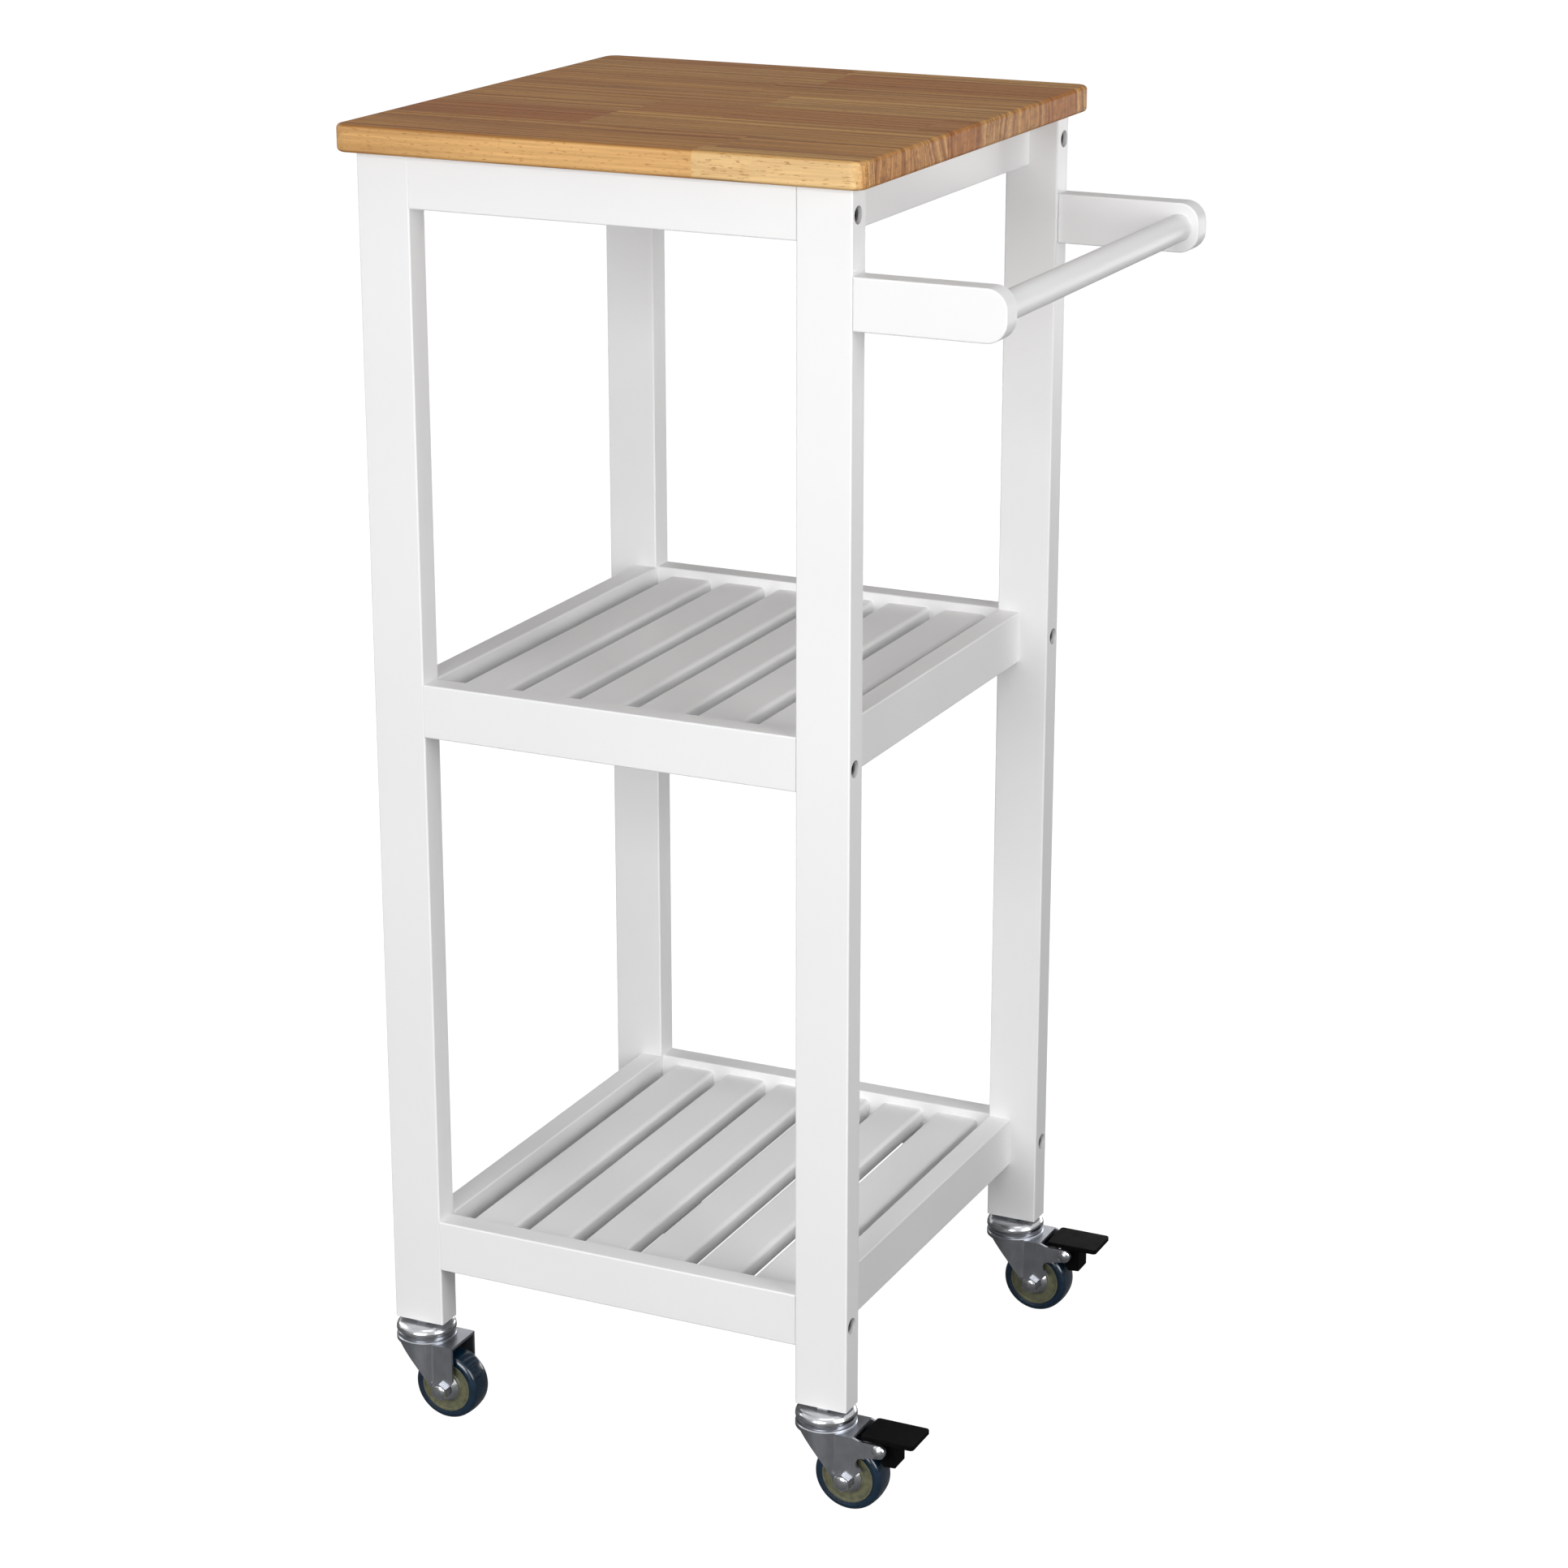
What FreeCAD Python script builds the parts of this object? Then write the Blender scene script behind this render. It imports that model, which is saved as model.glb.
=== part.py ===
"""A rolling kitchen cart: a butcher block top on a painted hardwood frame with two slatted shelves,
a bar handle on its right side and four swivel casters, of which the right-hand pair have brakes.

Millimetres. +Z is up, +X points to the handle side, -Y is the front. The origin is on the floor, in the
middle of the cart's footprint.
"""

import FreeCAD, Part
import math
import os

# ---------------------------------------------------------------------------------------------------
# Driving dimensions
# ---------------------------------------------------------------------------------------------------
HEIGHT = 914.0
CASTER_HEIGHT = 72.5

FRAME_WIDTH = 350.0
FRAME_DEPTH = 360.0

BOARD_THICKNESS = 18.0
BOARD_OVERHANG = 11.5
BOARD_CORNER_RADIUS = 10.0
BOARD_EDGE_RADIUS = 3.0

LEG_WIDTH = 38.0
LEG_DEPTH = 20.0
BOARD_STOCK = 17.0
EASED_EDGE = 1.2

APRON_HEIGHT = 35.0
RAIL_HEIGHT = 37.0
MIDDLE_RAIL_TOP = 543.0
LOWER_RAIL_TOP = 152.0

SLAT_COUNT = 6
SLAT_WIDTH = 33.0
SLAT_THICKNESS = 14.0
SLAT_DROP = 6.0
SLAT_EDGE_RADIUS = 3.0

HANDLE_REACH = 102.0
HANDLE_ARM_HEIGHT = 34.0
HANDLE_ARM_Z = 825.0
HANDLE_ARM_CORNER_RADIUS = 14.0
HANDLE_BAR_DIAMETER = 19.0
HANDLE_BAR_INSET = 14.5
HANDLE_BAR_SOCKET = 9.0

# Connector bolts and their cross-dowel barrel nuts
BOLT_DIAMETER = 6.0
BOLT_BORE = 6.5
BOLT_HEAD_DIAMETER = 10.0
BOLT_HEAD_HEIGHT = 5.5
BOLT_SOCKET_WIDTH = 5.0
BOLT_SOCKET_DEPTH = 3.0
COUNTERBORE_DIAMETER = 11.6
COUNTERBORE_DEPTH = 8.0
BOLT_GRIP_PAST_LEG = 36.0
HANDLE_BOLT_PAST_LEG = 19.0
BARREL_NUT_DIAMETER = 10.0
BARREL_NUT_LENGTH = 14.0
BARREL_NUT_INSET = 27.4
BARREL_NUT_RECESS = 0.5
HANDLE_INSERT_DIAMETER = 10.0
HANDLE_INSERT_LENGTH = 22.0

# Glued dowels
FRAME_DOWEL_DIAMETER = 8.0
FRAME_DOWEL_LENGTH = 34.0
FRAME_DOWEL_IN_LEG = 11.0
FRAME_DOWEL_SPREAD = 10.0
HANDLE_DOWEL_SPREAD = 10.5
SHELF_DOWEL_DIAMETER = 5.0
SHELF_DOWEL_LENGTH = 24.0
SHELF_DOWEL_IN_RAIL = 9.5
SHELF_DOWEL_SPREAD = 10.0
SHELF_DOWEL_BELOW_RAIL_TOP = 12.0
DOWEL_HOLE_CLEARANCE = 0.1
HOLE_END_CLEARANCE = 1.0

# Angle brackets that hold the top down
BRACKET_LEG = 24.0
BRACKET_WIDTH = 30.0
BRACKET_THICKNESS = 2.0
BRACKET_SPACING = 200.0
SCREW_SPREAD = 9.0
SCREW_FROM_BEND = 15.0
SCREW_DIAMETER = 4.0
SCREW_LENGTH = 13.0
SCREW_HEAD_DIAMETER = 7.5
SCREW_HEAD_HEIGHT = 2.2

# Casters: lengths from the swivel axis along the trailing side, heights from the floor
WHEEL_DIAMETER = 50.0
WHEEL_WIDTH = 20.0
CASTER_TRAIL = 20.0
CORE_RADIUS = 18.6
CORE_RIB_RADIUS = 20.0
CORE_RIB_WIDTH = 7.0
TREAD_SHOULDER = 3.6
TREAD_CROWN = 0.5
WEB_RECESS = 1.0
STEM_DIAMETER = 8.0
STEM_LENGTH = 24.0
INSERT_DIAMETER = 10.5
INSERT_LENGTH = 26.0
COLLAR_WIDTH = 13.0
COLLAR_HEIGHT = 2.2
RACE_RADIUS = 21.2
RACE_BOTTOM = 64.6
RACE_CEILING = 65.0
RACE_SHOULDER = 4.8
RACE_FLAT_RADIUS = 12.5
RACE_LIP = 1.2
KINGPIN_RADIUS = 5.0
KINGPIN_HEAD_RADIUS = 8.0
KINGPIN_HEAD_HEIGHT = 1.8
BALL_COUNT = 14
BALL_RADIUS = 2.0
BALL_GAP = 0.1
BALL_CIRCLE_RADIUS = 14.0
SHEET = 2.0
CROWN_TOP = 60.6
CROWN_BOTTOM = 57.0
BEAD_TOP = 64.0
BEAD_INNER_RADIUS = 16.5
BEAD_OUTER_RADIUS = 20.6
GROOVE_RADIUS = 19.4
CHEEK_OUTER = 16.4
CREASE_RADIUS = 2.5
TAB_REACH = 29.3
TAB_BOTTOM = 33.0
BRAKED_PLATE_REACH = 26.3
AXLE_BOSS_RADIUS = 6.4
# The fork's leading edge, an arc from under the crown down to the axle, as (x, z) points
LEADING_EDGE = [(-11.0, 57.0), (0.7, 44.6), (13.5, 24.0)]
AXLE_DIAMETER = 6.4
AXLE_HEX_WIDTH = 11.0
AXLE_HEAD_HEIGHT = 3.8
AXLE_NUT_HEIGHT = 3.6
AXLE_DOME_HEIGHT = 1.4
AXLE_DOME_RADIUS = 4.9
SLEEVE_RADIUS = 4.5
HUB_CAP_RADIUS = 11.0
HUB_CAP_RIM = 0.9
HUB_CAP_CROWN_RADIUS = 7.5
HUB_CAP_HOLE = 4.9
HUB_CAP_GAP = 0.4

# Brakes
BRAKE_PIVOT_X = 45.7
BRAKE_PIVOT_Z = 52.5
BRAKE_BOSS_RADIUS = 5.0
RIVET_RADIUS = 2.5
RIVET_HEAD_HEIGHT = 3.0
PEDAL_START_X = 31.5
PEDAL_END_X = 70.0
PEDAL_HALF_WIDTH = 15.0
PEDAL_THICKNESS = 3.2
PEDAL_UNDERSIDE = 57.9
PEDAL_BLOCK_HALF_WIDTH = 8.0
PEDAL_CORNER = 2.5
PEDAL_RIM = 0.8
# Outline of the block under the foot plate, as (x, z) points; the last two face the tread
PEDAL_BLOCK_OUTLINE = [(40.0, 58.9), (54.5, 58.9), (54.5, 38.5), (46.0, 37.8), (40.0, 48.3)]
CHEEK_SHOULDER_X = 31.0
NOTCH_X = 33.5
NOTCH_Z = 40.5
NOTCH_RADIUS = 4.5

RUNNING_FIT = 0.05
STATIC_FIT = 0.05
AXIAL_GAP = 0.3

# ---------------------------------------------------------------------------------------------------
# Places worked out from the driving dimensions
# ---------------------------------------------------------------------------------------------------
FRAME_X = -(HANDLE_REACH - BOARD_OVERHANG) / 2
LEFT = FRAME_X - FRAME_WIDTH / 2
RIGHT = FRAME_X + FRAME_WIDTH / 2
FRONT = -FRAME_DEPTH / 2
BACK = FRAME_DEPTH / 2
INNER_LEFT = LEFT + LEG_WIDTH
INNER_RIGHT = RIGHT - LEG_WIDTH
INNER_FRONT = FRONT + BOARD_STOCK
INNER_BACK = BACK - BOARD_STOCK
LEG_FACE_FRONT = FRONT + LEG_DEPTH
LEG_FACE_BACK = BACK - LEG_DEPTH
LEG_TOP = HEIGHT - BOARD_THICKNESS

SIDE_OF = {"left": -1, "right": 1}
END_OF = {"front": -1, "back": 1}
CORNERS = [(end, side) for end in END_OF for side in SIDE_OF]

RAIL_SPANS = {
    "apron": (LEG_TOP - APRON_HEIGHT, LEG_TOP),
    "middle_rail": (MIDDLE_RAIL_TOP - RAIL_HEIGHT, MIDDLE_RAIL_TOP),
    "lower_rail": (LOWER_RAIL_TOP - RAIL_HEIGHT, LOWER_RAIL_TOP),
}
SHELF_RAIL_TOPS = {"middle_shelf": MIDDLE_RAIL_TOP, "lower_shelf": LOWER_RAIL_TOP}

SLAT_GAP = (INNER_RIGHT - INNER_LEFT - SLAT_COUNT * SLAT_WIDTH) / (SLAT_COUNT + 1)
SLAT_CENTRES = [
    INNER_LEFT + SLAT_GAP + SLAT_WIDTH / 2 + i * (SLAT_WIDTH + SLAT_GAP) for i in range(SLAT_COUNT)
]

X_AXIS = FreeCAD.Vector(1, 0, 0)
Y_AXIS = FreeCAD.Vector(0, 1, 0)
Z_AXIS = FreeCAD.Vector(0, 0, 1)


# ---------------------------------------------------------------------------------------------------
# Shape helpers
# ---------------------------------------------------------------------------------------------------
def vec(x, y, z):
    return FreeCAD.Vector(x, y, z)


def block(x0, x1, y0, y1, z0, z1):
    return Part.makeBox(x1 - x0, y1 - y0, z1 - z0, vec(x0, y0, z0))


def rod(radius, start, end):
    """A round bar from one point to another."""
    direction = end.sub(start)
    return Part.makeCylinder(radius, direction.Length, start, direction)


def hexagon(width, start, end):
    """A hexagonal bar, width across its flats, along X, Y or Z."""
    length = end.sub(start)
    first = X_AXIS if abs(length.z) > 0 else Z_AXIS
    second = Y_AXIS if abs(length.y) == 0 else X_AXIS
    corner = width / math.sqrt(3)
    points = []
    for i in range(7):
        angle = math.radians(60 * i)
        points.append(start + first * (corner * math.cos(angle)) + second * (corner * math.sin(angle)))
    return Part.Face(Part.makePolygon(points)).extrude(length)


def turned(profile, x, y):
    """A solid turned about the vertical line through (x, y), from (radius, height) points."""
    points = [vec(x + r, y, z) for r, z in profile]
    face = Part.Face(Part.makePolygon(points + points[:1]))
    return face.revolve(vec(x, y, 0), Z_AXIS, 360)


def turned_on_axle(profile, x, y, z):
    """A solid turned about the line along Y through (x, z), from (radius, distance along Y) points."""
    points = [vec(x + r, y + t, z) for r, t in profile]
    face = Part.Face(Part.makePolygon(points + points[:1]))
    return face.revolve(vec(x, 0, z), Y_AXIS, 360)


def side_plate(outline, y0, y1):
    """A flat plate between y0 and y1, cut to an outline of (x, z) points."""
    points = [vec(x, y0, z) for x, z in outline]
    return Part.Face(Part.makePolygon(points + points[:1])).extrude(vec(0, y1 - y0, 0))


def edges_along(shape, axis, shortest=0.0):
    """The straight edges of a shape that run along an axis."""
    found = []
    for edge in shape.Edges:
        if not isinstance(edge.Curve, (Part.Line, Part.LineSegment)):
            continue
        direction = edge.tangentAt(edge.FirstParameter)
        if abs(direction.dot(axis)) > 0.999 and edge.Length >= shortest:
            found.append(edge)
    return found


def ease_along(shape, axis, radius):
    return shape.makeFillet(radius, edges_along(shape, axis))


def fuse_all(shapes):
    whole = shapes[0].multiFuse(shapes[1:]) if len(shapes) > 1 else shapes[0]
    return whole.removeSplitter()


def cut_all(shape, cutters):
    for cutter in cutters:
        shape = shape.cut(cutter)
    return shape


def group(shapes):
    return Part.makeCompound(shapes)


def mirrored_in_y(shape, y):
    return shape.mirror(vec(0, y, 0), Y_AXIS)


def save(name, shape):
    shape.exportStep("parts/" + name + ".step")


# ---------------------------------------------------------------------------------------------------
# Places of the frame's pieces
# ---------------------------------------------------------------------------------------------------
def leg_outer_x(side):
    return RIGHT if side == "right" else LEFT


def leg_inner_x(side):
    return INNER_RIGHT if side == "right" else INNER_LEFT


def leg_y_range(end):
    return (FRONT, LEG_FACE_FRONT) if end == "front" else (LEG_FACE_BACK, BACK)


def rail_y_range(end):
    """A front or back rail, like a handle arm, is flush with the outer faces of its legs."""
    return (FRONT, INNER_FRONT) if end == "front" else (INNER_BACK, BACK)


def rail_axis_y(end):
    return sum(rail_y_range(end)) / 2


def leg_axis(end, side):
    """The vertical centre line of a leg, which its caster turns about."""
    y0, y1 = leg_y_range(end)
    return (leg_outer_x(side) + leg_inner_x(side)) / 2, (y0 + y1) / 2


def side_rail_x_range(side):
    inner = leg_inner_x(side)
    return tuple(sorted((inner, inner + SIDE_OF[side] * BOARD_STOCK)))


def rail_middle(rail):
    low, high = RAIL_SPANS[rail]
    return (low + high) / 2


# ---------------------------------------------------------------------------------------------------
# Fasteners, and the holes that they need, which share their places
# ---------------------------------------------------------------------------------------------------
def frame_bolt(end, side, z):
    """A socket-head bolt that goes through a leg into the end of a front or back rail."""
    s = SIDE_OF[side]
    seat = vec(leg_outer_x(side) - s * COUNTERBORE_DEPTH, rail_axis_y(end), z)
    return socket_bolt(seat, -s, LEG_WIDTH - COUNTERBORE_DEPTH + BOLT_GRIP_PAST_LEG)


def handle_bolt(end):
    """A bolt from the inner side of a right-hand leg into the root of a handle arm."""
    seat = vec(INNER_RIGHT + COUNTERBORE_DEPTH, rail_axis_y(end), HANDLE_ARM_Z)
    return socket_bolt(seat, 1, LEG_WIDTH - COUNTERBORE_DEPTH + HANDLE_BOLT_PAST_LEG)


def socket_bolt(seat, direction, length):
    """A bolt whose head rests on the seat and whose shank runs along X in the given direction."""
    shank = rod(BOLT_DIAMETER / 2, seat, seat + vec(direction * length, 0, 0))
    top = seat - vec(direction * BOLT_HEAD_HEIGHT, 0, 0)
    head = rod(BOLT_HEAD_DIAMETER / 2, seat, top)
    socket = hexagon(BOLT_SOCKET_WIDTH, top, top + vec(direction * BOLT_SOCKET_DEPTH, 0, 0))
    return fuse_all([shank, head]).cut(socket)


def bolt_hole(seat, direction, length):
    """The bore and counterbore for a socket bolt."""
    start = seat - vec(direction * COUNTERBORE_DEPTH, 0, 0)
    bore_end = seat + vec(direction * (length + HOLE_END_CLEARANCE), 0, 0)
    return fuse_all([rod(BOLT_BORE / 2, start, bore_end), rod(COUNTERBORE_DIAMETER / 2, start, seat)])


def frame_bolt_hole(end, side, z):
    s = SIDE_OF[side]
    seat = vec(leg_outer_x(side) - s * COUNTERBORE_DEPTH, rail_axis_y(end), z)
    return bolt_hole(seat, -s, LEG_WIDTH - COUNTERBORE_DEPTH + BOLT_GRIP_PAST_LEG)


def handle_bolt_hole(end):
    seat = vec(INNER_RIGHT + COUNTERBORE_DEPTH, rail_axis_y(end), HANDLE_ARM_Z)
    return bolt_hole(seat, 1, LEG_WIDTH - COUNTERBORE_DEPTH + HANDLE_BOLT_PAST_LEG)


def handle_insert(end):
    """A threaded steel insert in the end grain of a handle arm's root."""
    root = vec(RIGHT + STATIC_FIT, rail_axis_y(end), HANDLE_ARM_Z)
    body = rod(HANDLE_INSERT_DIAMETER / 2, root, root + X_AXIS * HANDLE_INSERT_LENGTH)
    return body.cut(rod(BOLT_DIAMETER / 2 + STATIC_FIT, root, root + X_AXIS * HANDLE_INSERT_LENGTH))


def handle_insert_hole(end):
    root = vec(RIGHT, rail_axis_y(end), HANDLE_ARM_Z)
    bottom = root + X_AXIS * (HANDLE_INSERT_LENGTH + HOLE_END_CLEARANCE)
    return rod(HANDLE_INSERT_DIAMETER / 2 + STATIC_FIT, root, bottom)


def barrel_nut(end, x, z):
    """A cross dowel, slightly below the face, with its threaded cross hole."""
    inner_face = INNER_FRONT if end == "front" else INNER_BACK
    outward = END_OF[end]
    start = vec(x, inner_face + outward * BARREL_NUT_RECESS, z)
    finish = start + vec(0, outward * BARREL_NUT_LENGTH, 0)
    y = rail_axis_y(end)
    half = BARREL_NUT_DIAMETER
    cross = rod(BOLT_DIAMETER / 2 + STATIC_FIT, vec(x - half, y, z), vec(x + half, y, z))
    return rod(BARREL_NUT_DIAMETER / 2, start, finish).cut(cross)


def barrel_nut_hole(end, x, z):
    inner_face = INNER_FRONT if end == "front" else INNER_BACK
    outward = END_OF[end]
    start = vec(x, inner_face - outward, z)
    finish = vec(x, inner_face + outward * (BARREL_NUT_LENGTH + HOLE_END_CLEARANCE), z)
    return rod(BARREL_NUT_DIAMETER / 2 + DOWEL_HOLE_CLEARANCE, start, finish)


def rail_nut_x(side):
    return leg_inner_x(side) - SIDE_OF[side] * BARREL_NUT_INSET


def frame_dowel_places():
    """(x, y, z, direction) of the joint face and of the direction from the leg into the joined piece."""
    places = []
    for end, side in CORNERS:
        x = sum(side_rail_x_range(side)) / 2
        face = LEG_FACE_FRONT if end == "front" else LEG_FACE_BACK
        for rail in RAIL_SPANS:
            for step in (-1, 1):
                z = rail_middle(rail) + step * FRAME_DOWEL_SPREAD
                places.append((vec(x, face, z), vec(0, -END_OF[end], 0)))
    for end in END_OF:
        for step in (-1, 1):
            z = HANDLE_ARM_Z + step * HANDLE_DOWEL_SPREAD
            places.append((vec(RIGHT, rail_axis_y(end), z), X_AXIS))
    return places


def dowel(place, direction, diameter, length, behind):
    start = place - direction * behind
    return rod(diameter / 2, start, start + direction * length)


def dowel_hole(place, direction, diameter, length, behind):
    start = place - direction * (behind + HOLE_END_CLEARANCE)
    end = start + direction * (length + 2 * HOLE_END_CLEARANCE)
    return rod(diameter / 2 + DOWEL_HOLE_CLEARANCE, start, end)


def frame_dowels():
    return [
        dowel(place, direction, FRAME_DOWEL_DIAMETER, FRAME_DOWEL_LENGTH, FRAME_DOWEL_IN_LEG)
        for place, direction in frame_dowel_places()
    ]


def frame_dowel_holes():
    return [
        dowel_hole(place, direction, FRAME_DOWEL_DIAMETER, FRAME_DOWEL_LENGTH, FRAME_DOWEL_IN_LEG)
        for place, direction in frame_dowel_places()
    ]


def shelf_dowel_places():
    places = []
    for rail_top in SHELF_RAIL_TOPS.values():
        z = rail_top - SHELF_DOWEL_BELOW_RAIL_TOP
        for centre in SLAT_CENTRES:
            for step in (-1, 1):
                x = centre + step * SHELF_DOWEL_SPREAD
                places.append((vec(x, INNER_FRONT, z), Y_AXIS))
                places.append((vec(x, INNER_BACK, z), Y_AXIS * -1))
    return places


def shelf_dowels():
    return [
        dowel(place, direction, SHELF_DOWEL_DIAMETER, SHELF_DOWEL_LENGTH, SHELF_DOWEL_IN_RAIL)
        for place, direction in shelf_dowel_places()
    ]


def shelf_dowel_holes():
    return [
        dowel_hole(place, direction, SHELF_DOWEL_DIAMETER, SHELF_DOWEL_LENGTH, SHELF_DOWEL_IN_RAIL)
        for place, direction in shelf_dowel_places()
    ]


def only_near(shape, cutters):
    """The cutters that reach into a shape's box, so that each piece is cut only by its own holes."""
    box = shape.BoundBox
    return [cutter for cutter in cutters if box.intersect(cutter.BoundBox)]


# ---------------------------------------------------------------------------------------------------
# Top and frame
# ---------------------------------------------------------------------------------------------------
def butcher_block_top():
    slab = block(
        LEFT - BOARD_OVERHANG,
        RIGHT + BOARD_OVERHANG,
        FRONT - BOARD_OVERHANG,
        BACK + BOARD_OVERHANG,
        LEG_TOP,
        HEIGHT,
    )
    slab = slab.makeFillet(BOARD_CORNER_RADIUS, edges_along(slab, Z_AXIS))
    rims = [edge for edge in slab.Edges if abs(edge.BoundBox.ZLength) < 0.01]
    slab = slab.makeFillet(BOARD_EDGE_RADIUS, rims)
    pilots = [screw_hole(place, direction) for place, direction in bracket_screw_places()]
    return cut_all(slab, only_near(slab, pilots))


def leg(end, side):
    y0, y1 = leg_y_range(end)
    x0, x1 = sorted((leg_outer_x(side), leg_inner_x(side)))
    post = ease_along(block(x0, x1, y0, y1, CASTER_HEIGHT, LEG_TOP), Z_AXIS, EASED_EDGE)
    cutters = [frame_bolt_hole(end, side, rail_middle(rail)) for rail in RAIL_SPANS]
    cutters += frame_dowel_holes()
    if side == "right":
        cutters.append(handle_bolt_hole(end))
    x, y = leg_axis(end, side)
    insert_top = vec(x, y, CASTER_HEIGHT + INSERT_LENGTH + HOLE_END_CLEARANCE)
    cutters.append(rod(INSERT_DIAMETER / 2 + STATIC_FIT, vec(x, y, CASTER_HEIGHT), insert_top))
    return cut_all(post, only_near(post, cutters))


def long_rail(end, rail):
    """A front or back rail, flush with the legs' outer faces, between their inner edges."""
    y0, y1 = rail_y_range(end)
    low, high = RAIL_SPANS[rail]
    bar = ease_along(block(INNER_LEFT, INNER_RIGHT, y0, y1, low, high), X_AXIS, EASED_EDGE)
    z = rail_middle(rail)
    cutters = [frame_bolt_hole(end, side, z) for side in SIDE_OF]
    cutters += [barrel_nut_hole(end, rail_nut_x(side), z) for side in SIDE_OF]
    cutters += shelf_dowel_holes()
    return cut_all(bar, only_near(bar, cutters))


def side_rail(side, rail):
    """A left or right rail, from the front leg's back face to the back leg's front face."""
    x0, x1 = side_rail_x_range(side)
    low, high = RAIL_SPANS[rail]
    bar = ease_along(block(x0, x1, LEG_FACE_FRONT, LEG_FACE_BACK, low, high), Y_AXIS, EASED_EDGE)
    pilots = [screw_hole(place, direction) for place, direction in bracket_screw_places()]
    cutters = frame_dowel_holes() + pilots
    return cut_all(bar, only_near(bar, cutters))


def shelf_slats(rail_top):
    top = rail_top - SLAT_DROP
    slats = []
    for centre in SLAT_CENTRES:
        half = SLAT_WIDTH / 2
        slat = block(centre - half, centre + half, INNER_FRONT, INNER_BACK, top - SLAT_THICKNESS, top)
        slat = ease_along(slat, Y_AXIS, SLAT_EDGE_RADIUS)
        slats.append(cut_all(slat, only_near(slat, shelf_dowel_holes())))
    return group(slats)


# ---------------------------------------------------------------------------------------------------
# Brackets under the top
# ---------------------------------------------------------------------------------------------------
def bracket_places():
    """(x of the side apron's inner face, direction into the frame, y of the bracket's middle)."""
    return [
        (leg_inner_x(side), -SIDE_OF[side], step * BRACKET_SPACING / 2)
        for side in SIDE_OF
        for step in (-1, 1)
    ]


def top_bracket(x, inward, y):
    half = BRACKET_WIDTH / 2
    x_in = sorted((x, x + inward * BRACKET_THICKNESS))
    x_out = sorted((x, x + inward * BRACKET_LEG))
    upright = block(x_in[0], x_in[1], y - half, y + half, LEG_TOP - BRACKET_LEG, LEG_TOP)
    flange = block(x_out[0], x_out[1], y - half, y + half, LEG_TOP - BRACKET_THICKNESS, LEG_TOP)
    angle = fuse_all([upright, flange])
    holes = [screw_clearance(place, direction) for place, direction in bracket_screw_places()]
    return cut_all(angle, only_near(angle, holes))


def bracket_screw_places():
    """(seat, direction) of each screw: two up into the top and two into the apron for each bracket."""
    places = []
    for x, inward, y in bracket_places():
        for step in (-1, 1):
            across = y + step * SCREW_SPREAD
            up_seat = vec(x + inward * SCREW_FROM_BEND, across, LEG_TOP - BRACKET_THICKNESS)
            side_seat = vec(x + inward * BRACKET_THICKNESS, across, LEG_TOP - SCREW_FROM_BEND)
            places.append((up_seat, Z_AXIS))
            places.append((side_seat, vec(-inward, 0, 0)))
    return places


def screw(seat, direction):
    shank = rod(SCREW_DIAMETER / 2, seat, seat + direction * SCREW_LENGTH)
    head = rod(SCREW_HEAD_DIAMETER / 2, seat - direction * SCREW_HEAD_HEIGHT, seat)
    return fuse_all([shank, head])


def screw_hole(seat, direction):
    start = seat + direction * (BRACKET_THICKNESS / 2)
    end = seat + direction * (SCREW_LENGTH + HOLE_END_CLEARANCE)
    return rod(SCREW_DIAMETER / 2 + STATIC_FIT, start, end)


def screw_clearance(seat, direction):
    start = seat - direction * HOLE_END_CLEARANCE
    end = seat + direction * (BRACKET_THICKNESS + HOLE_END_CLEARANCE)
    return rod(SCREW_DIAMETER / 2 + STATIC_FIT, start, end)


# ---------------------------------------------------------------------------------------------------
# Handle
# ---------------------------------------------------------------------------------------------------
def handle_arm(end):
    """An arm with a rounded tip; its eased outline leaves a small groove where it meets the leg."""
    y0, y1 = rail_y_range(end)
    low = HANDLE_ARM_Z - HANDLE_ARM_HEIGHT / 2
    high = HANDLE_ARM_Z + HANDLE_ARM_HEIGHT / 2
    arm = block(RIGHT, RIGHT + HANDLE_REACH, y0, y1, low, high)
    tip = [edge for edge in edges_along(arm, Y_AXIS) if edge.BoundBox.XMin > RIGHT + 1]
    arm = arm.makeFillet(HANDLE_ARM_CORNER_RADIUS, tip)
    face_outlines = [edge for edge in arm.Edges if abs(edge.BoundBox.YLength) < 0.01]
    arm = arm.makeFillet(EASED_EDGE, face_outlines)
    cutters = frame_dowel_holes()
    cutters.append(handle_insert_hole(end))
    bar_start, bar_end = handle_bar_ends()
    cutters.append(rod(HANDLE_BAR_DIAMETER / 2 + STATIC_FIT, bar_start, bar_end))
    return cut_all(arm, only_near(arm, cutters))


def handle_bar_ends():
    x = RIGHT + HANDLE_REACH - HANDLE_BAR_INSET
    reach = INNER_BACK + HANDLE_BAR_SOCKET
    return vec(x, -reach, HANDLE_ARM_Z), vec(x, reach, HANDLE_ARM_Z)


def handle_bar():
    start, end = handle_bar_ends()
    bar = rod(HANDLE_BAR_DIAMETER / 2, start, end)
    return bar.makeChamfer(HOLE_END_CLEARANCE, [edge for edge in bar.Edges if edge.BoundBox.YLength < 0.01])


# ---------------------------------------------------------------------------------------------------
# Casters
# ---------------------------------------------------------------------------------------------------
def caster_insert(x, y):
    """The threaded steel insert in the foot of a leg."""
    top = vec(x, y, CASTER_HEIGHT + INSERT_LENGTH)
    body = rod(INSERT_DIAMETER / 2, vec(x, y, CASTER_HEIGHT), top)
    return body.cut(rod(STEM_DIAMETER / 2 + STATIC_FIT, vec(x, y, CASTER_HEIGHT), top))


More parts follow.
